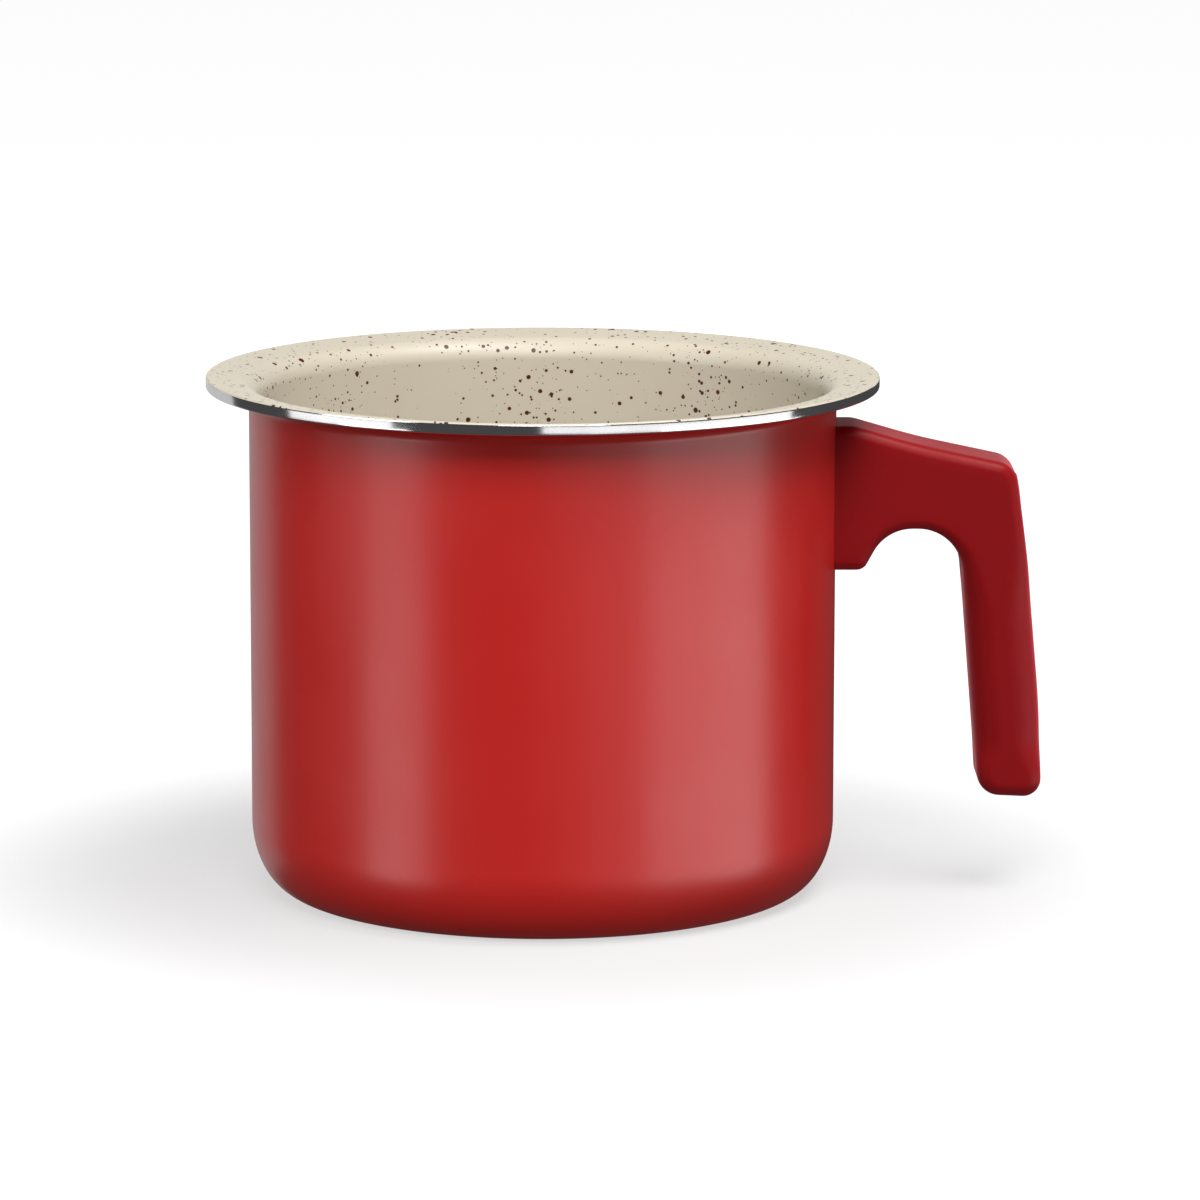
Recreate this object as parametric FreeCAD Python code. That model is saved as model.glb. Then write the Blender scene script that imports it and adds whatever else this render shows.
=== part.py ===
import FreeCAD, Part
import math
import os

# Milk pot with an open-ended side handle. Units are millimetres. +Z is up, the handle points along +X,
# and the origin is the centre of the flat base, so the pot stands on z = 0.

# ---- pot body: wall and base ----
BODY_RADIUS = 72.0            # outside of the straight wall
WALL = 2.5                    # wall thickness, coatings included
BASE_THICKNESS = 4.0
OUTER_CORNER_WIDTH = 11.1     # rounding between wall and base, across
OUTER_CORNER_HEIGHT = 17.5    # rounding between wall and base, upward
INNER_CORNER_RADIUS = 13.0    # rounding between inside wall and floor

# ---- pouring lip ----
LIP_RADIUS = 82.5             # outermost edge
LIP_CORNER_Z = 127.8          # height of the lip's outer top corner before it is rounded
LIP_SLOPE = math.radians(8.6)     # the lip rises outward a little
LIP_THICKNESS = 2.8
FLARE_RADIUS = 5.5            # inside curve from wall to lip
FLARE_UNDERSIDE_RADIUS = 3.0
LIP_TOP_ROUNDING = 0.6
LIP_BOTTOM_ROUNDING = 0.4
ABOVE_LIP = 130.0             # a height above everything

# ---- coatings and the metal they leave bare ----
COAT = 0.2
BARE_EDGE_INNER_RADIUS = 81.9
BARE_EDGE_TOP = 127.35
BARE_EDGE_LOW = 124.0         # the lathe tool reaches down to here, below the lip
BARE_BASE_RADIUS = 62.1       # the red coating begins just outside the flat base

# ---- turned rings on the base ----
RING_FIRST_RADIUS = 12.0
RING_PITCH = 4.0
RING_COUNT = 12
RING_WIDTH = 0.9
RING_DEPTH = 0.2

# ---- handle ----
HANDLE_HALF_WIDTH = 10.0
ARM_ROUNDING = 2.8            # long edges of the arm
GRIP_ROUNDING = 6.6           # long edges of the grip, which is nearly oval
GRIP_END_ROUNDING = 3.4
GRIP_START_Z = 95.0           # the rounding grows from here
GRIP_FULL_Z = 68.0            # down to here
GRIP_END_Z = 34.0             # and shrinks again below here
ARCH_MIDDLE_X = 95.0
HANDLE_ROOT_X = 66.0          # the side view starts inside the pot and is cut to the wall
ROOT_TOP = 115.75             # the part of the handle that touches the wall
ROOT_BOTTOM = 80.1
ARCH_TOP = 90.3               # top of the finger gap
GRIP_BOTTOM = 23.5

# ---- handle fixing: all on one axis along X ----
SCREW_Z = 98.0
SCREW_SEAT_X = 104.0          # bottom of the counterbore in the handle
COUNTERBORE_RADIUS = 5.1
COUNTERBORE_END_X = 130.0     # beyond the back of the handle
SCREW_HOLE_RADIUS = 2.8
SCREW_RADIUS = 2.45
SCREW_LENGTH = 30.0
SCREW_HEAD_RADIUS = 4.5
SCREW_HEAD_HEIGHT = 3.4
SCREW_HEAD_ROUNDING = 1.2
SCREW_TIP_CHAMFER = 0.5
DRIVE_SLOT_LENGTH = 5.0
DRIVE_SLOT_WIDTH = 1.1
DRIVE_SLOT_DEPTH = 1.8
WASHER_RADIUS = 4.9
WASHER_THICKNESS = 1.0
SPRING_WASHER_RADIUS = 4.4
SPRING_WASHER_THICKNESS = 1.2
SPRING_WASHER_GAP = 0.8
STUD_RADIUS = 5.0
STUD_END_X = 84.0
STUD_FLANGE_RADIUS = 6.5
STUD_FLANGE_END_X = 73.6
STUD_THREAD_RADIUS = 2.5
STUD_THREAD_START_X = 74.6
STUD_CLEARANCE = 0.15
CAP_RADIUS = 5.05
CAP_WALL = 1.2
CAP_INNER_X = 111.0
CAP_HOLLOW_END_X = 115.0

UP = FreeCAD.Vector(0, 0, 1)
ALONG_X = FreeCAD.Vector(1, 0, 0)
FULL_TURN = 360
OVERSHOOT = 1.0               # cutting shapes reach this far past the surface they cut
TOUCHING = 0.001              # closer than this counts as the same place


def section_point(r, z):
    """A point of a turned section: distance from the pot axis, and height."""
    return FreeCAD.Vector(r, 0, z)


def section_line(a, b):
    return Part.makeLine(section_point(*a), section_point(*b))


def rounded_edges(corners, closed):
    """Lines in the XZ plane joined by smooth arcs. Each corner is (x, z, rounding)."""
    points = [FreeCAD.Vector(x, 0, z) for x, z, rounding in corners]
    count = len(corners)
    entries = []
    exits = []
    arcs = []
    for index in range(count):
        here = points[index]
        rounding = corners[index][2]
        if rounding == 0:
            entries.append(here)
            exits.append(here)
            continue
        to_last = (points[index - 1] - here).normalize()
        to_next = (points[(index + 1) % count] - here).normalize()
        half_angle = to_last.getAngle(to_next) / 2
        reach = rounding / math.tan(half_angle)
        entry = here + to_last * reach
        leave = here + to_next * reach
        inward = (to_last + to_next).normalize()
        middle = here + inward * (rounding / math.sin(half_angle) - rounding)
        arcs.append(Part.Arc(entry, middle, leave).toShape())
        entries.append(entry)
        exits.append(leave)
    lines = []
    for index in range(count if closed else count - 1):
        start = exits[index]
        end = entries[(index + 1) % count]
        if (end - start).Length > TOUCHING:
            lines.append(Part.makeLine(start, end))
    return lines + arcs


def corner_ellipse(width, height, centre_r, centre_z):
    """The quarter ellipse from the base up to the outside wall."""
    centre = section_point(centre_r, centre_z)
    ellipse = Part.Ellipse(section_point(centre_r, centre_z - height), section_point(centre_r + width, centre_z),
                           centre)
    # with the long radius pointing down, the quarter runs from the base to the wall
    return Part.ArcOfEllipse(ellipse, 0, math.pi / 2).toShape()


def revolve_section(edges):
    face = Part.Face(Part.Wire(Part.__sortEdges__(edges)))
    return face.revolve(FreeCAD.Vector(0, 0, 0), UP, FULL_TURN)


def lip_height(radius, depth):
    """Height inside the sloping lip at that distance from the axis, depth below its top surface."""
    return LIP_CORNER_Z - (LIP_RADIUS - radius) * math.tan(LIP_SLOPE) - depth / math.cos(LIP_SLOPE)


def pot_shape(inset):
    """The whole pot turned from its section, with every surface moved inward by inset."""
    inner_radius = BODY_RADIUS - WALL + inset
    outer_radius = BODY_RADIUS - inset
    edge = LIP_RADIUS - inset
    floor = BASE_THICKNESS - inset
    under_lip = LIP_THICKNESS - inset
    corner_r = BODY_RADIUS - OUTER_CORNER_WIDTH
    corner_width = OUTER_CORNER_WIDTH - inset
    corner_height = OUTER_CORNER_HEIGHT - inset
    edges = [
        section_line((0, floor), (0, inset)),
        section_line((0, inset), (corner_r, inset)),
        corner_ellipse(corner_width, corner_height, corner_r, OUTER_CORNER_HEIGHT),
    ]
    edges += rounded_edges([
        (outer_radius, OUTER_CORNER_HEIGHT, 0),
        (outer_radius, lip_height(outer_radius, under_lip), FLARE_UNDERSIDE_RADIUS + inset),
        (edge, lip_height(edge, under_lip), LIP_BOTTOM_ROUNDING - inset),
        (edge, lip_height(edge, inset), LIP_TOP_ROUNDING - inset),
        (inner_radius, lip_height(inner_radius, inset), FLARE_RADIUS - inset),
        (inner_radius, floor, INNER_CORNER_RADIUS + inset),
        (0, floor, 0),
    ], closed=False)
    return revolve_section(edges)


def ring(inner_radius, outer_radius, low, high):
    """A plain ring around the pot axis."""
    outer = Part.makeCylinder(outer_radius, high - low, FreeCAD.Vector(0, 0, low))
    inner = Part.makeCylinder(inner_radius, high - low, FreeCAD.Vector(0, 0, low))
    return outer.cut(inner)


def coatings(whole_pot):
    """The inside and outside coatings: one skin, parted at the bare lip edge and at the bare base."""
    skin = whole_pot.cut(pot_shape(COAT))
    bare_edge = ring(BARE_EDGE_INNER_RADIUS, LIP_RADIUS + OVERSHOOT, BARE_EDGE_LOW, BARE_EDGE_TOP)
    bare_base = Part.makeCylinder(BARE_BASE_RADIUS, 2 * OVERSHOOT, FreeCAD.Vector(0, 0, -OVERSHOOT))
    parted = skin.cut(bare_edge).cut(bare_base)
    by_height = sorted(parted.Solids, key=lambda solid: solid.BoundBox.ZMin)
    outside = by_height[0]
    inside = by_height[-1]
    return inside, outside


def base_rings():
    """Shallow turned grooves in the bare base."""
    grooves = []
    for index in range(RING_COUNT):
        radius = RING_FIRST_RADIUS + index * RING_PITCH
        grooves.append(ring(radius - RING_WIDTH / 2, radius + RING_WIDTH / 2, -OVERSHOOT, RING_DEPTH))
    return Part.makeCompound(grooves)


def cylinder_along_x(radius, start_x, end_x):
    """A cylinder on the axis of the handle screw."""
    return Part.makeCylinder(radius, end_x - start_x, FreeCAD.Vector(start_x, 0, SCREW_Z), ALONG_X)


def wall_stud():
    """The threaded stud welded to the outside of the wall. Its foot follows the wall's curve."""
    barrel = cylinder_along_x(STUD_RADIUS, BODY_RADIUS - WALL, STUD_END_X)
    flange = cylinder_along_x(STUD_FLANGE_RADIUS, BODY_RADIUS - WALL, STUD_FLANGE_END_X)
    thread = cylinder_along_x(STUD_THREAD_RADIUS, STUD_THREAD_START_X, STUD_END_X)
    inside_metal = Part.makeCylinder(BODY_RADIUS - COAT, ABOVE_LIP)
    return barrel.fuse(flange).removeSplitter().cut(inside_metal).cut(thread)


def handle_side_view():
    """The handle seen from the side, from its root on the wall round to the end of the grip and back."""
    edges = rounded_edges([
        (HANDLE_ROOT_X, ROOT_TOP, 0),
        (76.2, ROOT_TOP, 8),                 # short level strip beside the wall
        (92.0, 111.15, 150),                 # the top falls gently away from the pot
        (115.8, 106.1, 6.0),                 # shoulder
        (119.3, 80.0, 200),                  # the back of the grip leans out a little
        (122.4, 46.0, 200),
        (123.05, GRIP_BOTTOM - 0.4, 4.4),    # end of the grip, back
        (107.55, GRIP_BOTTOM + 0.3, 5.6),    # end of the grip, front
        (102.1, ARCH_TOP, 11),               # finger gap, grip side
        (84.2, ARCH_TOP, 10.8),              # finger gap, pot side
        (78.7, ROOT_BOTTOM, 2.9),            # foot
        (HANDLE_ROOT_X, ROOT_BOTTOM, 0),
    ], closed=True)
    return Part.Wire(Part.__sortEdges__(edges))


def rounding_at(point):
    """How far the handle's long edge is rounded at that point of its side view."""
    if point.z < GRIP_END_Z:
        return GRIP_END_ROUNDING
    if point.x < ARCH_MIDDLE_X:
        return ARM_ROUNDING
    share = (GRIP_START_Z - point.z) / (GRIP_START_Z - GRIP_FULL_Z)
    share = max(0.0, min(1.0, share))
    return ARM_ROUNDING + (GRIP_ROUNDING - ARM_ROUNDING) * share


def handle_blank():
    """The handle before any holes: its side view given a width, with the long edges rounded."""
    face = Part.Face(handle_side_view())
    start = FreeCAD.Vector(0, -HANDLE_HALF_WIDTH, 0)
    blank = face.translated(start).extrude(FreeCAD.Vector(0, 2 * HANDLE_HALF_WIDTH, 0))
    roundings = []
    for number, edge in enumerate(blank.Edges, 1):
        box = edge.BoundBox
        lies_in_a_side = box.YLength < TOUCHING
        at_the_hidden_root = box.XMax < HANDLE_ROOT_X + TOUCHING
        if lies_in_a_side and not at_the_hidden_root:
            first = rounding_at(edge.Vertexes[0].Point)
            last = rounding_at(edge.Vertexes[-1].Point)
            roundings.append((number, first, last))
    document = FreeCAD.newDocument("handle")
    sharp = document.addObject("Part::Feature", "sharp")
    sharp.Shape = blank
    rounded = document.addObject("Part::Fillet", "rounded")
    rounded.Base = sharp
    rounded.Edges = roundings
    document.recompute()
    return rounded.Shape.copy()


def handle(blank):
    """The handle with its curved root face, the pocket for the stud and the stepped screw hole."""
    wall = Part.makeCylinder(BODY_RADIUS, ABOVE_LIP)
    inner_x = BODY_RADIUS - WALL
    stud_pocket = cylinder_along_x(STUD_RADIUS + STUD_CLEARANCE, inner_x, STUD_END_X + OVERSHOOT)
    flange_pocket = cylinder_along_x(STUD_FLANGE_RADIUS + STUD_CLEARANCE, inner_x, STUD_FLANGE_END_X + STUD_CLEARANCE)
    screw_hole = cylinder_along_x(SCREW_HOLE_RADIUS, inner_x, SCREW_SEAT_X + OVERSHOOT)
    counterbore = cylinder_along_x(COUNTERBORE_RADIUS, SCREW_SEAT_X, COUNTERBORE_END_X)
    body = blank.cut(wall)
    for hole in (stud_pocket, flange_pocket, screw_hole, counterbore):
        body = body.cut(hole)
    return body


def flat_washer():
    end_x = SCREW_SEAT_X + WASHER_THICKNESS
    return cylinder_along_x(WASHER_RADIUS, SCREW_SEAT_X, end_x).cut(
        cylinder_along_x(SCREW_HOLE_RADIUS, SCREW_SEAT_X, end_x))


def spring_washer():
    """A split ring."""
    start_x = SCREW_SEAT_X + WASHER_THICKNESS
    end_x = start_x + SPRING_WASHER_THICKNESS
    washer = cylinder_along_x(SPRING_WASHER_RADIUS, start_x, end_x).cut(
        cylinder_along_x(SCREW_HOLE_RADIUS, start_x, end_x))
    split = Part.makeBox(SPRING_WASHER_THICKNESS, SPRING_WASHER_GAP, SPRING_WASHER_RADIUS + OVERSHOOT,
                         FreeCAD.Vector(start_x, -SPRING_WASHER_GAP / 2, SCREW_Z))
    return washer.cut(split)


def handle_screw():
    """A round-headed screw with a cross drive, its head towards the outer end of the handle."""
    head_x = SCREW_SEAT_X + WASHER_THICKNESS + SPRING_WASHER_THICKNESS
    head_end = head_x + SCREW_HEAD_HEIGHT
    head = cylinder_along_x(SCREW_HEAD_RADIUS, head_x, head_end)
    rim = [edge for edge in head.Edges if edge.BoundBox.XMin > head_end - TOUCHING]
    head = head.makeFillet(SCREW_HEAD_ROUNDING, rim)
    shank = cylinder_along_x(SCREW_RADIUS, head_x - SCREW_LENGTH, head_x)
    tip = [edge for edge in shank.Edges if edge.BoundBox.XMax < head_x - SCREW_LENGTH + TOUCHING]
    shank = shank.makeChamfer(SCREW_TIP_CHAMFER, tip)
    slot_start = head_end - DRIVE_SLOT_DEPTH
    half_length = DRIVE_SLOT_LENGTH / 2
    half_width = DRIVE_SLOT_WIDTH / 2
    upright = Part.makeBox(DRIVE_SLOT_DEPTH + OVERSHOOT, DRIVE_SLOT_WIDTH, DRIVE_SLOT_LENGTH,
                           FreeCAD.Vector(slot_start, -half_width, SCREW_Z - half_length))
    level = Part.makeBox(DRIVE_SLOT_DEPTH + OVERSHOOT, DRIVE_SLOT_LENGTH, DRIVE_SLOT_WIDTH,
                         FreeCAD.Vector(slot_start, -half_length, SCREW_Z - half_width))
    return head.fuse(shank).removeSplitter().cut(upright).cut(level)


def screw_cap(blank):
    """The push-in cap over the screw, hollow behind and flush with the back of the handle."""
    plug = cylinder_along_x(CAP_RADIUS, CAP_INNER_X, COUNTERBORE_END_X).common(blank)
    hollow = cylinder_along_x(CAP_RADIUS - CAP_WALL, CAP_INNER_X - OVERSHOOT, CAP_HOLLOW_END_X)
    return plug.cut(hollow)


def main():
    os.makedirs("parts", exist_ok=True)
    whole_pot = pot_shape(0)
    inside, outside = coatings(whole_pot)
    metal = whole_pot.cut(inside).cut(outside).cut(base_rings())
    stud = wall_stud()
    stud_window = cylinder_along_x(STUD_FLANGE_RADIUS, BODY_RADIUS - WALL / 2, STUD_END_X)
    blank = handle_blank()
    pieces = {
        "pot_body": metal,
        "interior_coating": inside,
        "exterior_coating": outside.cut(stud_window),
        "handle": handle(blank),
        "handle_stud": stud,
        "handle_screw": handle_screw(),
        "flat_washer": flat_washer(),
        "spring_washer": spring_washer(),
        "screw_cap": screw_cap(blank),
    }
    for name, shape in pieces.items():
        if len(shape.Solids) == 1:
            shape = shape.Solids[0]
        shape.exportStep("parts/" + name + ".step")
        box = shape.BoundBox
        print(name, len(shape.Solids), shape.isValid(), round(shape.Volume, 1),
              [round(value, 2) for value in (box.XMin, box.XMax, box.YMin, box.YMax, box.ZMin, box.ZMax)])


main()
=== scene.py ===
import math

import bmesh
import bpy
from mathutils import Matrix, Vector


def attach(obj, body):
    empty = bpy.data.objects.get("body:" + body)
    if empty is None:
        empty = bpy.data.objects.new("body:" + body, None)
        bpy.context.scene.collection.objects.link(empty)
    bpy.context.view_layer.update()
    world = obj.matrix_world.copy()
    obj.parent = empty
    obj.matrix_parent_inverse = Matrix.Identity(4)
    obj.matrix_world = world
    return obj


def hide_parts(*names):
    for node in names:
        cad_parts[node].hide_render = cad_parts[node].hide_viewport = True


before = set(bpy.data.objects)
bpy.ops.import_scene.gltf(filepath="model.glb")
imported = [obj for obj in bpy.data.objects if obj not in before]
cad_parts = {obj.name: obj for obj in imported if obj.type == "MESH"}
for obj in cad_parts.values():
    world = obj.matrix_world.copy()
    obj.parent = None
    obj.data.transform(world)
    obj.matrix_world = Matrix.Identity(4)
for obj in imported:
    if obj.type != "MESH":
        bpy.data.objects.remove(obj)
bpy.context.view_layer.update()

MM = 0.001

# ---- pot, in millimetres, as in the CAD model ----
BODY_RADIUS = 72.0
WALL = 2.5
BASE_THICKNESS = 4.0
OUTER_CORNER_WIDTH = 11.1
OUTER_CORNER_HEIGHT = 17.5
INNER_CORNER_RADIUS = 13.0
LIP_RADIUS = 82.5
LIP_CORNER_Z = 127.8
LIP_SLOPE = math.radians(8.6)
LIP_THICKNESS = 2.8
FLARE_RADIUS = 5.5
FLARE_UNDERSIDE_RADIUS = 3.0
LIP_TOP_ROUNDING = 0.6
LIP_BOTTOM_ROUNDING = 0.4
ABOVE_LIP = 130.0
TOUCHING = 0.001
COAT = 0.2
BARE_EDGE_INNER_RADIUS = 81.9
BARE_EDGE_TOP = 127.35
BARE_BASE_RADIUS = 62.1
RING_FIRST_RADIUS = 12.0
RING_PITCH = 4.0
RING_COUNT = 12
RING_WIDTH = 0.9
RING_DEPTH = 0.2
TURN_STEPS = 288

# ---- handle, in millimetres ----
ROOT_TOP = 115.75
ROOT_BOTTOM = 80.1
ARCH_TOP = 90.3
GRIP_BOTTOM = 23.5
HANDLE_HALF_WIDTH = 10.0
ARM_ROUNDING = 2.8
GRIP_ROUNDING = 6.6
GRIP_END_ROUNDING = 3.4
GRIP_START_Z = 90.0
GRIP_FULL_Z = 68.0
GRIP_NARROWS_Z = 38.0
GRIP_END_Z = 28.5
ARCH_MIDDLE_X = 95.0
HANDLE_ROOT_X = 66.0
SCREW_Z = 98.0
SCREW_SEAT_X = 104.0
COUNTERBORE_RADIUS = 5.1
COUNTERBORE_REACH = 30.0
BEHIND_ROOT = 8.0
OVERLAP = 1.0
SCREW_HOLE_RADIUS = 2.8
STUD_POCKET_RADIUS = 5.15
STUD_POCKET_END_X = 85.0
FLANGE_POCKET_RADIUS = 6.65
FLANGE_POCKET_END_X = 73.8
CAP_RADIUS = 5.05
CAP_WALL = 1.2
CAP_INNER_X = 111.0
CAP_HOLLOW_END_X = 115.0
CAP_DOME_ROUNDING = 0.4
CAP_DOME = ((0.0, 0.05), (2.0, 0.03), (3.6, -0.02), (4.6, -0.1))    # radius, lift off the handle's back
BACK_AT_SCREW_X = 117.15
BACK_SLOPE = 0.122
CAP_SIDE_LIFT = -0.52
CAP_STEPS = 96
POCKET_STEPS = 64
HOLE_STEPS = 48
HANDLE_SECTIONS = 180
CORNER_STEPS = 9
FACE_STEPS = 8
# points of the handle's outer and inner side (x, z) that lie across from each other
MATCHES = (
    ((66.0, 115.7), (66.0, 80.1)),
    ((79.0, 114.8), (77.0, 80.1)),
    ((89.0, 111.6), (85.0, 89.4)),
    ((99.0, 109.2), (91.5, 90.9)),
    ((110.0, 106.9), (96.5, 89.6)),
    ((115.4, 103.9), (99.3, 87.6)),
    ((117.4, 95.0), (101.6, 83.6)),
    ((119.2, 80.0), (103.1, 76.0)),
    ((121.0, 60.0), (104.7, 58.0)),
    ((122.5, 40.0), (106.2, 39.0)),
    ((122.9, 28.0), (107.2, 28.0)),
    ((119.0, 23.2), (111.0, 23.6)),
)

# ---- specks: grid cells per metre, largest radius as a share of a cell, share of cells kept ----
SPECKS = (
    (310, 0.24, 0.95),
    (540, 0.23, 0.80),
    (900, 0.20, 0.55),
)

# ---- studio, in metres ----
FLOOR_SIZE = 14.0
FLOOR_COLOUR = (0.22, 0.22, 0.22, 1)
# the floor's own glow is lower beside the pot, a painted shadow round the base, and rises to the far glow
# further out
FLOOR_GLOW_IN_PAINTED_SHADOW = 0.60
FLOOR_GLOW_FAR = 0.95
FLOOR_PAINTED_SHADOW_RADIUS = 0.085
FLOOR_PAINTED_SHADOW_OUTER_RADIUS = 0.22
# panels around the pot: name, from azimuth, to azimuth, bottom, top, brightness
PANELS = (
    ("lip_left", -92, -50, -0.07, 0.03, 1.1),
    ("lip_front", 0, 30, -0.07, 0.03, 1.1),
    ("lip_front_right", 30, 60, -0.07, 0.03, 1.1),
    ("lip_right", 60, 90, -0.07, 0.03, 1.1),
    ("side_left", -70, -45, -0.45, -0.07, 2.2),
    ("side_front", 15, 40, -0.45, -0.07, 0.4),
    ("side_front_right", 40, 65, -0.45, -0.07, 2.1),
    ("side_right", 65, 95, -0.45, -0.07, 2.4),
    ("behind_left", -180, -127, -0.45, 0.3, 0.5),
)
PANEL_DISTANCE = 1.1
# soft boxes aimed at the pot: name, azimuth, distance, height, width, depth, brightness
BOXES = (
    ("box_left", -62, 1.0, 0.5, 0.6, 0.5, 3.7),
    ("box_front", 4, 0.9, 0.95, 0.7, 0.6, 8.4),
    ("box_high_right", 60, 0.5, 1.2, 0.7, 0.6, 10.0),
    ("box_behind", 176, 1.1, 0.28, 1.2, 0.5, 0.6),
)
BOX_TARGET = (0, 0, 0.08)
WORLD_BRIGHTNESS = 0.06

# ---- camera, in metres and radians ----
CAMERA_DISTANCE = 1.5786
CAMERA_TILT = 0.183
CAMERA_TARGET_HEIGHT = 0.066
LENS = 191.9
SHIFT_X = 0.0478
SHIFT_Y = 0.0174


# ------------------------------------------------------------------ meshes

def mesh_object(name, vertices, faces, sharp_degrees=35):
    """A smooth-shaded object from vertices in millimetres."""
    mesh = bpy.data.meshes.new(name)
    mesh.from_pydata([(x * MM, y * MM, z * MM) for x, y, z in vertices], [], faces)
    mesh.validate()
    obj = bpy.data.objects.new(name, mesh)
    bpy.context.scene.collection.objects.link(obj)
    finish_normals(obj, sharp_degrees)
    return obj


def finish_normals(obj, sharp_degrees):
    """Faces point outward and shade smoothly, except across sharp corners."""
    work = bmesh.new()
    work.from_mesh(obj.data)
    bmesh.ops.remove_doubles(work, verts=work.verts, dist=0.0005 * MM)
    bmesh.ops.dissolve_degenerate(work, edges=work.edges, dist=0.0005 * MM)
    bmesh.ops.recalc_face_normals(work, faces=work.faces)
    work.to_mesh(obj.data)
    work.free()
    obj.data.polygons.foreach_set("use_smooth", [True] * len(obj.data.polygons))
    obj.data.set_sharp_from_angle(angle=math.radians(sharp_degrees))


def arc(centre_r, centre_z, radius_r, radius_z, start_degrees, end_degrees, steps):
    """Points of an elliptical arc in a section, first and last included."""
    points = []
    for step in range(steps + 1):
        angle = math.radians(start_degrees + (end_degrees - start_degrees) * step / steps)
        points.append((centre_r + radius_r * math.cos(angle), centre_z + radius_z * math.sin(angle)))
    return points


def lip_height(radius, depth):
    """Height inside the sloping lip at that distance from the axis, depth below its top surface."""
    return LIP_CORNER_Z - (LIP_RADIUS - radius) * math.tan(LIP_SLOPE) - depth / math.cos(LIP_SLOPE)


def pot_outline(inset):
    """The pot's section in four runs: bare base, red outside, bare lip edge, cream inside."""
    outer_radius = BODY_RADIUS - inset
    inner_radius = BODY_RADIUS - WALL + inset
    edge = LIP_RADIUS - inset
    under_lip = LIP_THICKNESS - inset
    floor = BASE_THICKNESS - inset
    corner_r = BODY_RADIUS - OUTER_CORNER_WIDTH
    width = OUTER_CORNER_WIDTH - inset
    height = OUTER_CORNER_HEIGHT - inset
    coat_start = -90 + math.degrees(math.asin((BARE_BASE_RADIUS - corner_r) / OUTER_CORNER_WIDTH))

    base = arc(corner_r, OUTER_CORNER_HEIGHT, width, height, -90, coat_start, 3)
    corner = arc(corner_r, OUTER_CORNER_HEIGHT, width, height, coat_start, 0, 24)
    above = smooth_path([
        (outer_radius, OUTER_CORNER_HEIGHT, 0),
        (outer_radius, lip_height(outer_radius, under_lip), FLARE_UNDERSIDE_RADIUS + inset),
        (BARE_EDGE_INNER_RADIUS, lip_height(BARE_EDGE_INNER_RADIUS, under_lip), 0),
        (edge, lip_height(edge, under_lip), LIP_BOTTOM_ROUNDING - inset),
        (edge, lip_height(edge, inset), LIP_TOP_ROUNDING - inset),
        (inner_radius, lip_height(inner_radius, inset), FLARE_RADIUS - inset),
        (inner_radius, floor, INNER_CORNER_RADIUS + inset),
        (0, floor, 0),
    ], 20)
    above = [tuple(point) for point in above]
    bare_from = next(i for i, (r, z) in enumerate(above) if r >= BARE_EDGE_INNER_RADIUS - TOUCHING)
    bare_to = next(i for i, (r, z) in enumerate(above) if i > bare_from and z >= BARE_EDGE_TOP)
    return base, corner + above[1:bare_from + 1], above[bare_from:bare_to + 1], above[bare_to:]


def closed_turn(name, outline, sharp_degrees=35):
    """Turns a closed section about the pot axis. Points on the axis become one point."""
    vertices = []
    rings = []
    for radius, height in outline:
        if radius < 1e-6:
            rings.append([len(vertices)])
            vertices.append((0, 0, height))
            continue
        rings.append(list(range(len(vertices), len(vertices) + TURN_STEPS)))
        for step in range(TURN_STEPS):
            angle = 2 * math.pi * step / TURN_STEPS
            vertices.append((radius * math.cos(angle), radius * math.sin(angle), height))
    faces = []
    for index, ring in enumerate(rings):
        following = rings[(index + 1) % len(rings)]
        if len(ring) == 1 and len(following) == 1:
            continue
        for step in range(TURN_STEPS):
            after = (step + 1) % TURN_STEPS
            if len(ring) == 1:
                faces.append((ring[0], following[after], following[step]))
            elif len(following) == 1:
                faces.append((ring[step], ring[after], following[0]))
            else:
                faces.append((ring[step], ring[after], following[after], following[step]))
    return mesh_object(name, vertices, faces, sharp_degrees)


def grooved_base():
    """The bare base from the axis out, with its shallow turned rings."""
    points = [(0, 0)]
    for index in range(RING_COUNT):
        radius = RING_FIRST_RADIUS + index * RING_PITCH
        points += arc(radius, 0, RING_WIDTH / 2, -RING_DEPTH, 180, 360, 6)
    return points


def build_pot():
    """The metal pot and its two coatings."""
    surface = pot_outline(0)
    under_coat = pot_outline(COAT)
    metal_outline = grooved_base() + surface[0] + under_coat[1] + surface[2] + under_coat[3]
    metal = closed_turn("pot_metal", metal_outline, 40)
    outside = closed_turn("red_outside", surface[1] + under_coat[1][::-1])
    inside = closed_turn("cream_inside", surface[3] + under_coat[3][::-1])
    own(metal, "pot_body")
    own(outside, "exterior_coating")
    own(inside, "interior_coating")
    return metal, outside, inside


def smooth_path(corners, arc_steps=14):
    """A dense open path through rounded corners (x, z, rounding)."""
    points = [Vector((x, z)) for x, z, rounding in corners]
    path = [points[0]]
    for index in range(1, len(points) - 1):
        here = points[index]
        to_last = (points[index - 1] - here).normalized()
        to_next = (points[index + 1] - here).normalized()
        rounding = corners[index][2]
        if rounding == 0:
            path.append(here)
            continue
        half_angle = to_last.angle(to_next) / 2
        reach = rounding / math.tan(half_angle)
        inward = (to_last + to_next).normalized()
        centre = here + inward * (rounding / math.sin(half_angle))
        start = here + to_last * reach - centre
        end = here + to_next * reach - centre
        sweep = start.angle_signed(end)
        for step in range(arc_steps + 1):
            turn = -sweep * step / arc_steps
            cosine = math.cos(turn)
            sine = math.sin(turn)
            turned_x = start.x * cosine - start.y * sine
            turned_z = start.x * sine + start.y * cosine
            path.append(centre + Vector((turned_x, turned_z)))
    path.append(points[-1])
    return path


def path_lengths(path):
    """How far along the path each of its points lies."""
    lengths = [0.0]
    for start, end in zip(path, path[1:]):
        lengths.append(lengths[-1] + (end - start).length)
    return lengths


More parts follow.
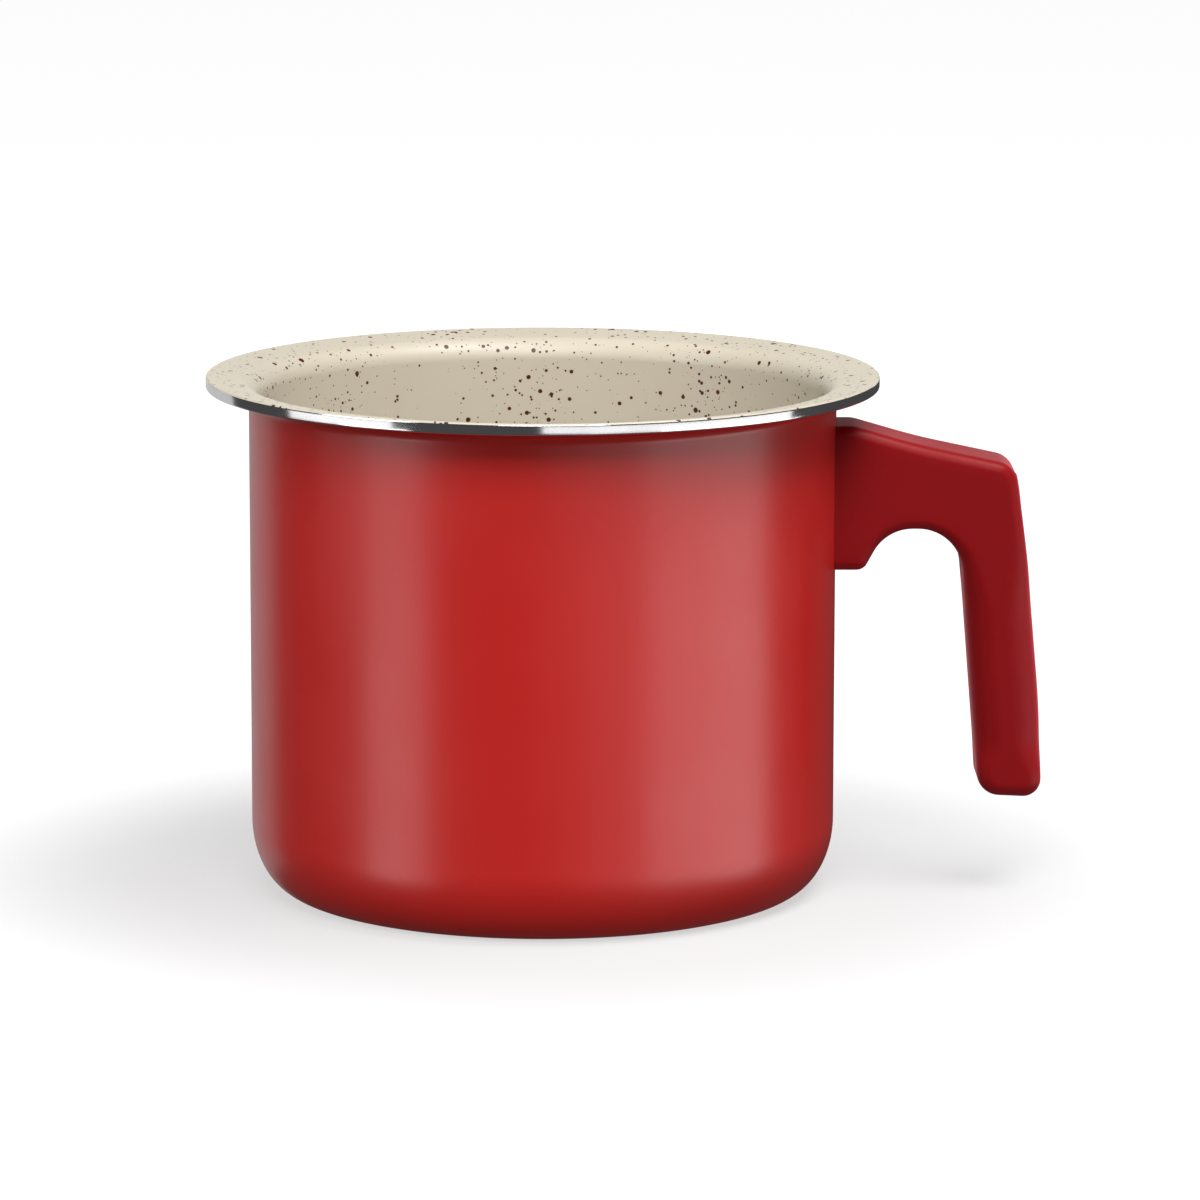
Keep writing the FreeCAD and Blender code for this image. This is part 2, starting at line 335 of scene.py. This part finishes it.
def point_at(path, lengths, distance):
    """The point that far along the path."""
    for index in range(1, len(path)):
        if distance <= lengths[index] or index == len(path) - 1:
            span = lengths[index] - lengths[index - 1]
            share = 0 if span == 0 else (distance - lengths[index - 1]) / span
            return path[index - 1].lerp(path[index], min(1.0, share))


def nearest_length(path, lengths, target):
    """How far along the path its nearest point to target lies."""
    best = (1e9, 0.0)
    total = lengths[-1]
    steps = 1200
    for step in range(steps + 1):
        distance = total * step / steps
        gap = (point_at(path, lengths, distance) - target).length
        best = min(best, (gap, distance))
    return best[1]


def ease(value, start, end):
    """0 before start, 1 after end, smooth between."""
    share = max(0.0, min(1.0, (value - start) / (end - start)))
    return share * share * (3 - 2 * share)


def spline_through(keys, position):
    """A smooth value through equally spaced keys; position runs from 0 to 1."""
    last = len(keys) - 1
    scaled = position * last
    index = min(int(scaled), last - 1)
    share = scaled - index
    before = keys[max(index - 1, 0)]
    start = keys[index]
    end = keys[index + 1]
    after = keys[min(index + 2, last)]
    slope_start = (end - before) / 2
    slope_end = (after - start) / 2
    square = share * share
    cube = square * share
    return ((2 * cube - 3 * square + 1) * start + (cube - 2 * square + share) * slope_start
            + (3 * square - 2 * cube) * end + (cube - square) * slope_end)


def handle_paths():
    """The outer side of the handle, root top to grip end, and the inner side, root bottom to grip end."""
    end = (115.0, GRIP_BOTTOM - 0.05, 0)
    outer = smooth_path([
        (HANDLE_ROOT_X, ROOT_TOP, 0),
        (76.2, ROOT_TOP, 8),
        (92.0, 111.15, 150),
        (115.8, 106.1, 6.0),
        (119.3, 80.0, 200),
        (122.4, 46.0, 200),
        (123.05, GRIP_BOTTOM - 0.4, 4.4),
        end,
    ])
    inner = smooth_path([
        (HANDLE_ROOT_X, ROOT_BOTTOM, 0),
        (78.7, ROOT_BOTTOM, 2.9),
        (84.2, ARCH_TOP, 10.8),
        (102.1, ARCH_TOP, 11),
        (107.55, GRIP_BOTTOM + 0.3, 5.6),
        end,
    ])
    return outer, inner


def inward_at(path, lengths, distance, side):
    """The direction into the handle, square to the path; side is 1 on the outer path, -1 on the inner."""
    ahead = point_at(path, lengths, min(distance + 0.1, lengths[-1]))
    behind = point_at(path, lengths, max(distance - 0.1, 0.0))
    along = (ahead - behind).normalized()
    return Vector((along.y, -along.x)) * side


def rounding_at(point):
    """How far the handle's long edge is rounded at that point of its side view."""
    if point.x < ARCH_MIDDLE_X:
        return ARM_ROUNDING
    grown = ARM_ROUNDING + (GRIP_ROUNDING - ARM_ROUNDING) * ease(-point.y, -GRIP_START_Z, -GRIP_FULL_Z)
    return grown + (GRIP_END_ROUNDING - grown) * ease(-point.y, -GRIP_NARROWS_Z, -GRIP_END_Z)


def long_edge(point, inward, face_sign):
    """The quarter circle from the handle's inner or outer side round to its near or far face."""
    rounding = rounding_at(point)
    corner = []
    for step in range(CORNER_STEPS + 1):
        angle = math.pi / 2 * step / CORNER_STEPS
        spot = point + inward * (rounding * (1 - math.cos(angle)))
        width = HANDLE_HALF_WIDTH - rounding + rounding * math.sin(angle)
        corner.append(Vector((spot.x, face_sign * width, spot.y)))
    return corner


def between(start, end):
    """Points on the way from start to end, both left out."""
    return [start.lerp(end, step / FACE_STEPS) for step in range(1, FACE_STEPS)]


def handle_ring(outer, outer_inward, inner, inner_inward):
    """One closed ring of points around the handle."""
    far_outer = long_edge(outer, outer_inward, 1)
    far_inner = long_edge(inner, inner_inward, 1)[::-1]
    near_inner = long_edge(inner, inner_inward, -1)
    near_outer = long_edge(outer, outer_inward, -1)[::-1]
    ring = []
    corners = (far_outer, far_inner, near_inner, near_outer)
    for index, corner in enumerate(corners):
        following = corners[(index + 1) % 4]
        ring += corner
        ring += between(corner[-1], following[0])
    return ring


def build_handle_body():
    """The handle as a smooth skin through rings that turn from the arm down into the grip."""
    outer, inner = handle_paths()
    outer_lengths = path_lengths(outer)
    inner_lengths = path_lengths(inner)
    outer_keys = [nearest_length(outer, outer_lengths, Vector(on_outer)) for on_outer, on_inner in MATCHES]
    inner_keys = [nearest_length(inner, inner_lengths, Vector(on_inner)) for on_outer, on_inner in MATCHES]
    outer_keys.append(outer_lengths[-1])
    inner_keys.append(inner_lengths[-1])
    rings = []
    for index in range(HANDLE_SECTIONS + 1):
        position = index / HANDLE_SECTIONS
        outer_at = spline_through(outer_keys, position)
        inner_at = spline_through(inner_keys, position)
        rings.append(handle_ring(
            point_at(outer, outer_lengths, outer_at),
            inward_at(outer, outer_lengths, outer_at, 1),
            point_at(inner, inner_lengths, inner_at),
            inward_at(inner, inner_lengths, inner_at, -1),
        ))
    count = len(rings[0])
    vertices = [tuple(point) for ring in rings for point in ring]
    faces = [tuple(range(count))]
    for index in range(len(rings) - 1):
        for step in range(count):
            after = (step + 1) % count
            low = index * count
            high = low + count
            faces.append((low + step, low + after, high + after, high + step))
    return mesh_object("handle_grip", vertices, faces, 50)


def tool_cylinder(radius, start, end, along_x, steps):
    """A cylinder to cut with: upright on the pot axis, or along the screw axis."""
    vertices = []
    for distance in (start, end):
        for step in range(steps):
            angle = 2 * math.pi * step / steps
            first = radius * math.cos(angle)
            second = radius * math.sin(angle)
            if along_x:
                vertices.append((distance, first, SCREW_Z + second))
            else:
                vertices.append((first, second, distance))
    faces = [(step, (step + 1) % steps, steps + (step + 1) % steps, steps + step) for step in range(steps)]
    faces.append(tuple(range(steps)))
    faces.append(tuple(range(steps, 2 * steps)))
    return mesh_object("cutter", vertices, faces)


def cut(obj, tool):
    """Takes tool out of obj and throws the tool away."""
    modifier = obj.modifiers.new("cut", "BOOLEAN")
    modifier.operation = "DIFFERENCE"
    modifier.solver = "EXACT"
    modifier.object = tool
    bpy.context.view_layer.update()
    evaluated = obj.evaluated_get(bpy.context.evaluated_depsgraph_get())
    result = bpy.data.meshes.new_from_object(evaluated)
    obj.modifiers.clear()
    old = obj.data
    obj.data = result
    bpy.data.meshes.remove(old)
    tool_mesh = tool.data
    bpy.data.objects.remove(tool)
    bpy.data.meshes.remove(tool_mesh)


def build_handle():
    """The handle with its root shaped to the wall and the stepped hole for the fixing screw."""
    handle = build_handle_body()
    inner_x = BODY_RADIUS - BEHIND_ROOT
    cut(handle, tool_cylinder(BODY_RADIUS, 0, ABOVE_LIP, False, TURN_STEPS))
    cut(handle, tool_cylinder(STUD_POCKET_RADIUS, inner_x, STUD_POCKET_END_X, True, POCKET_STEPS))
    cut(handle, tool_cylinder(FLANGE_POCKET_RADIUS, inner_x, FLANGE_POCKET_END_X, True, POCKET_STEPS))
    hole_start = STUD_POCKET_END_X - OVERLAP
    hole_end = SCREW_SEAT_X + OVERLAP
    cut(handle, tool_cylinder(SCREW_HOLE_RADIUS, hole_start, hole_end, True, HOLE_STEPS))
    counterbore_end = SCREW_SEAT_X + COUNTERBORE_REACH
    cut(handle, tool_cylinder(COUNTERBORE_RADIUS, SCREW_SEAT_X, counterbore_end, True, CAP_STEPS))
    finish_normals(handle, 50)
    own(handle, "handle")
    return handle


def back_of_handle(height):
    """How far out the back of the handle is at the height of the cap."""
    return BACK_AT_SCREW_X - BACK_SLOPE * (height - SCREW_Z)


def build_cap():
    """The push-in cap over the screw: a low dome, flush with the back of the handle, and a hollow skirt."""
    outline = list(CAP_DOME)
    outline += arc(CAP_RADIUS - CAP_DOME_ROUNDING, CAP_SIDE_LIFT, CAP_DOME_ROUNDING, CAP_DOME_ROUNDING,
                   75, 0, 5)
    steps = CAP_STEPS
    vertices = []
    faces = []
    for radius, lift in outline[1:]:
        for step in range(steps):
            angle = 2 * math.pi * step / steps
            y = radius * math.cos(angle)
            z = SCREW_Z + radius * math.sin(angle)
            vertices.append((back_of_handle(z) + lift, y, z))
    rings = len(outline) - 1
    hollow = CAP_RADIUS - CAP_WALL
    skirt = ((CAP_RADIUS, CAP_INNER_X), (hollow, CAP_INNER_X), (hollow, CAP_HOLLOW_END_X))
    for radius, x in skirt:
        for step in range(steps):
            angle = 2 * math.pi * step / steps
            vertices.append((x, radius * math.cos(angle), SCREW_Z + radius * math.sin(angle)))
    rings += len(skirt)
    for ring in range(rings - 1):
        for step in range(steps):
            after = (step + 1) % steps
            low = ring * steps
            faces.append((low + step, low + after, low + steps + after, low + steps + step))
    centre = len(vertices)
    vertices.append((back_of_handle(SCREW_Z) + outline[0][1], 0, SCREW_Z))
    vertices.append((CAP_HOLLOW_END_X, 0, SCREW_Z))
    for step in range(steps):
        after = (step + 1) % steps
        faces.append((centre, after, step))
        last = (rings - 1) * steps
        faces.append((centre + 1, last + step, last + after))
    cap = mesh_object("cap_over_screw", vertices, faces, 40)
    own(cap, "screw_cap")
    return cap


# ------------------------------------------------------------------ materials

class Nodes:
    """Short calls for building a procedural material."""

    def __init__(self, name):
        self.material = bpy.data.materials.new(name)
        self.material.use_nodes = True
        self.tree = self.material.node_tree
        self.tree.nodes.clear()
        self.output = self.add("ShaderNodeOutputMaterial")

    def add(self, kind, **settings):
        node = self.tree.nodes.new(kind)
        for key, value in settings.items():
            setattr(node, key, value)
        return node

    def link(self, source, target):
        self.tree.links.new(source, target)

    def math(self, operation, first, second=0.0, third=0.0):
        node = self.add("ShaderNodeMath", operation=operation)
        for index, value in enumerate((first, second, third)):
            if isinstance(value, (int, float)):
                node.inputs[index].default_value = value
            else:
                self.link(value, node.inputs[index])
        return node.outputs[0]

    def noise(self, scale, detail, place):
        node = self.add("ShaderNodeTexNoise")
        node.inputs["Scale"].default_value = scale
        node.inputs["Detail"].default_value = detail
        self.link(place, node.inputs["Vector"])
        return node.outputs[0]

    def place(self):
        return self.add("ShaderNodeTexCoord").outputs["Object"]

    def ramp(self, value, low, high, low_out=0.0, high_out=1.0):
        node = self.add("ShaderNodeMapRange", interpolation_type="SMOOTHSTEP")
        self.link(value, node.inputs["Value"])
        node.inputs["From Min"].default_value = low
        node.inputs["From Max"].default_value = high
        node.inputs["To Min"].default_value = low_out
        node.inputs["To Max"].default_value = high_out
        return node.outputs[0]

    def mix(self, share, first, second):
        node = self.add("ShaderNodeMix", data_type="RGBA")
        self.link(share, node.inputs[0])
        for socket, value in ((node.inputs[6], first), (node.inputs[7], second)):
            if isinstance(value, tuple):
                socket.default_value = value
            else:
                self.link(value, socket)
        return node.outputs[2]

    def bump(self, height, strength, distance):
        node = self.add("ShaderNodeBump")
        node.inputs["Strength"].default_value = strength
        node.inputs["Distance"].default_value = distance
        self.link(height, node.inputs["Height"])
        return node.outputs[0]

    def surface(self, **values):
        shader = self.add("ShaderNodeBsdfPrincipled")
        for key, value in values.items():
            socket = shader.inputs[key.replace("_", " ")]
            if isinstance(value, (int, float, tuple)):
                socket.default_value = value
            else:
                self.link(value, socket)
        self.link(shader.outputs[0], self.output.inputs["Surface"])
        return self.material


def rgb(red, green, blue):
    """A screen colour, 0 to 255, as linear light."""
    def linear(value):
        share = value / 255
        return share / 12.92 if share <= 0.04045 else ((share + 0.055) / 1.055) ** 2.4
    return (linear(red), linear(green), linear(blue), 1.0)


def red_lacquer():
    """Satin red coating with a faint ripple."""
    n = Nodes("red_lacquer")
    place = n.place()
    cloud = n.noise(38, 3, place)
    colour = n.mix(cloud, rgb(192, 32, 28), rgb(197, 36, 31))
    ripple = n.noise(900, 2, place)
    roughness = n.ramp(cloud, 0.3, 0.7, 0.31, 0.36)
    return n.surface(Base_Color=colour, Roughness=roughness, IOR=1.5, Specular_IOR_Level=0.6,
                     Coat_Weight=0.15, Coat_Roughness=0.22, Normal=n.bump(ripple, 0.05, 0.0002))


def handle_plastic():
    """Dull red moulded plastic with a faint grain."""
    n = Nodes("handle_plastic")
    place = n.place()
    cloud = n.noise(60, 3, place)
    colour = n.mix(cloud, rgb(134, 14, 18), rgb(138, 16, 20))
    grain = n.noise(2400, 2, place)
    roughness = n.ramp(cloud, 0.3, 0.7, 0.36, 0.44)
    return n.surface(Base_Color=colour, Roughness=roughness, IOR=1.5, Specular_IOR_Level=0.1,
                     Sheen_Weight=0.8, Sheen_Roughness=0.45, Sheen_Tint=(1.0, 0.16, 0.19, 1),
                     Normal=n.bump(grain, 0.06, 0.0001))


def speck_layer(n, place, scale, radius, present, cluster):
    """Round specks, one in a cell of a random grid, kept where the cell's number and the cluster allow."""
    cells = n.add("ShaderNodeTexVoronoi", feature="F1")
    cells.inputs["Scale"].default_value = scale
    cells.inputs["Randomness"].default_value = 0.9
    n.link(place, cells.inputs["Vector"])
    split = n.add("ShaderNodeSeparateColor")
    n.link(cells.outputs["Color"], split.inputs[0])
    size = n.math("MULTIPLY_ADD", split.outputs[1], radius * 0.6, radius * 0.4)
    inside = n.math("SUBTRACT", size, cells.outputs["Distance"])
    soft = n.ramp(inside, -0.01, 0.02)
    limit = n.math("MULTIPLY", cluster, present)
    chosen = n.math("LESS_THAN", split.outputs[0], limit)
    return n.math("MULTIPLY", soft, chosen)


def cream_nonstick():
    """Cream coating with dark red specks of three sizes, crowded in some places."""
    n = Nodes("cream_nonstick")
    place = n.place()
    cluster = n.ramp(n.noise(55, 2, place), 0.4, 0.62, 0.45, 1.3)
    large, medium, small = [speck_layer(n, place, scale, radius, present, cluster)
                            for scale, radius, present in SPECKS]
    specks = n.math("MAXIMUM", n.math("MAXIMUM", large, medium), small)
    tint = n.mix(n.noise(240, 2, place), rgb(54, 12, 11), rgb(90, 22, 19))
    base = n.mix(n.noise(30, 3, place), rgb(194, 185, 167), rgb(201, 193, 175))
    colour = n.mix(specks, base, tint)
    grain = n.noise(1500, 2, place)
    return n.surface(Base_Color=colour, Roughness=0.42, IOR=1.46, Normal=n.bump(grain, 0.05, 0.0001))


def turned_aluminium():
    """Bright metal with fine rings around the pot axis, cut by a lathe."""
    n = Nodes("turned_aluminium")
    place = n.place()
    split = n.add("ShaderNodeSeparateXYZ")
    n.link(place, split.inputs[0])
    across = n.math("SQRT", n.math("ADD", n.math("MULTIPLY", split.outputs[0], split.outputs[0]),
                                   n.math("MULTIPLY", split.outputs[1], split.outputs[1])))
    ring_place = n.add("ShaderNodeCombineXYZ")
    n.link(across, ring_place.inputs[0])
    n.link(split.outputs[2], ring_place.inputs[2])
    rings = n.noise(4200, 2, ring_place.outputs[0])
    wear = n.noise(90, 3, place)
    roughness = n.ramp(wear, 0.3, 0.7, 0.08, 0.13)
    return n.surface(Base_Color=(0.86, 0.86, 0.87, 1), Metallic=1.0, Roughness=roughness,
                     Normal=n.bump(rings, 0.06, 0.00005))


def plated_steel():
    """Dull zinc-plated steel."""
    n = Nodes("plated_steel")
    place = n.place()
    wear = n.noise(700, 3, place)
    roughness = n.ramp(wear, 0.3, 0.7, 0.24, 0.4)
    return n.surface(Base_Color=(0.62, 0.62, 0.6, 1), Metallic=1.0, Roughness=roughness,
                     Normal=n.bump(wear, 0.04, 0.0001))


def own(piece, *nodes):
    """The piece stands for these CAD nodes and goes with the pot."""
    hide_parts(*nodes)
    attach(piece, "root")


def paint(obj, material):
    """Gives the object one material."""
    obj.data.materials.clear()
    obj.data.materials.append(material)


# ------------------------------------------------------------------ stage

def floor_with_painted_shadow():
    """A pale floor that glows of itself. Its glow is dimmer beside the pot and grows away from it, so the
    grey patch round the pot is painted shadow, not a cast one.
    """
    n = Nodes("floor_with_painted_shadow")
    reach = n.add("ShaderNodeVectorMath", operation="LENGTH")
    n.link(n.place(), reach.inputs[0])
    # painted shadow: the glow is dimmer near the pot's axis and grows outward
    painted_shadow_glow = n.ramp(reach.outputs["Value"], FLOOR_PAINTED_SHADOW_RADIUS, FLOOR_PAINTED_SHADOW_OUTER_RADIUS,
                  FLOOR_GLOW_IN_PAINTED_SHADOW, FLOOR_GLOW_FAR)
    return n.surface(Base_Color=FLOOR_COLOUR, Roughness=0.9, Specular_IOR_Level=0.1,
                     Emission_Color=(1, 1, 1, 1), Emission_Strength=painted_shadow_glow)


def build_floor():
    """A wide square floor that lamps below and reflections look through."""
    half = FLOOR_SIZE / 2
    mesh = bpy.data.meshes.new("floor")
    corners = [(-half, -half, 0), (half, -half, 0), (half, half, 0), (-half, half, 0)]
    mesh.from_pydata(corners, [], [(0, 1, 2, 3)])
    panel = bpy.data.objects.new("floor", mesh)
    bpy.context.scene.collection.objects.link(panel)
    panel.data.materials.append(floor_with_painted_shadow())
    panel.visible_diffuse = False
    panel.visible_glossy = False
    panel.visible_shadow = False


def soft_light(name, centre, target, size, brightness):
    """A rectangular lamp, unseen by the camera; brightness is that of its surface."""
    light = bpy.data.lights.new(name, "AREA")
    light.shape = "RECTANGLE"
    light.size = size[0]
    light.size_y = size[1]
    light.energy = brightness * math.pi * size[0] * size[1]
    lamp = bpy.data.objects.new(name, light)
    bpy.context.scene.collection.objects.link(lamp)
    lamp.location = centre
    lamp.rotation_euler = (Vector(target) - Vector(centre)).to_track_quat("-Z", "Y").to_euler()
    lamp.visible_camera = False


def around(azimuth_degrees, distance, height):
    """A place around the pot: azimuth 0 is towards the camera, positive to the camera's right."""
    angle = math.radians(azimuth_degrees)
    return (distance * math.sin(angle), -distance * math.cos(angle), height)


def build_stage():
    """Floor, lamps around and above the pot, and a dim even surround."""
    build_floor()
    for name, start, end, bottom, top, brightness in PANELS:
        middle = (bottom + top) / 2
        width = 2 * PANEL_DISTANCE * math.tan(math.radians(end - start) / 2)
        centre = around((start + end) / 2, PANEL_DISTANCE, middle)
        soft_light(name, centre, (0, 0, middle), (width, top - bottom), brightness)
    for name, azimuth, distance, height, width, depth, brightness in BOXES:
        centre = around(azimuth, distance, height)
        soft_light(name, centre, BOX_TARGET, (width, depth), brightness)
    world = bpy.data.worlds.new("studio")
    world.use_nodes = True
    background = world.node_tree.nodes["Background"]
    background.inputs["Color"].default_value = (1, 1, 1, 1)
    background.inputs["Strength"].default_value = WORLD_BRIGHTNESS
    bpy.context.scene.world = world


def build_camera():
    """A long lens, a little above the pot and looking slightly down on it."""
    data = bpy.data.cameras.new("camera")
    data.lens = LENS
    data.sensor_width = 36
    data.shift_x = SHIFT_X
    data.shift_y = SHIFT_Y
    data.clip_end = 50
    camera = bpy.data.objects.new("camera", data)
    bpy.context.scene.collection.objects.link(camera)
    camera.location = (0, -CAMERA_DISTANCE * math.cos(CAMERA_TILT),
                       CAMERA_TARGET_HEIGHT + CAMERA_DISTANCE * math.sin(CAMERA_TILT))
    camera.rotation_euler = (math.pi / 2 - CAMERA_TILT, 0, 0)
    bpy.context.scene.camera = camera


def main():
    """Builds the pot, the handle and the stage."""
    metal, outside, inside = build_pot()
    handle = build_handle()
    cap = build_cap()
    handle_material = handle_plastic()
    aluminium = turned_aluminium()
    steel = plated_steel()
    paint(metal, aluminium)
    paint(outside, red_lacquer())
    paint(inside, cream_nonstick())
    paint(handle, handle_material)
    paint(cap, handle_material)
    paint(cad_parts["handle_stud"], aluminium)
    for node in ("handle_screw", "flat_washer", "spring_washer"):
        paint(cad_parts[node], steel)
    build_stage()
    build_camera()
    bpy.context.scene.view_settings.view_transform = "Standard"


main()
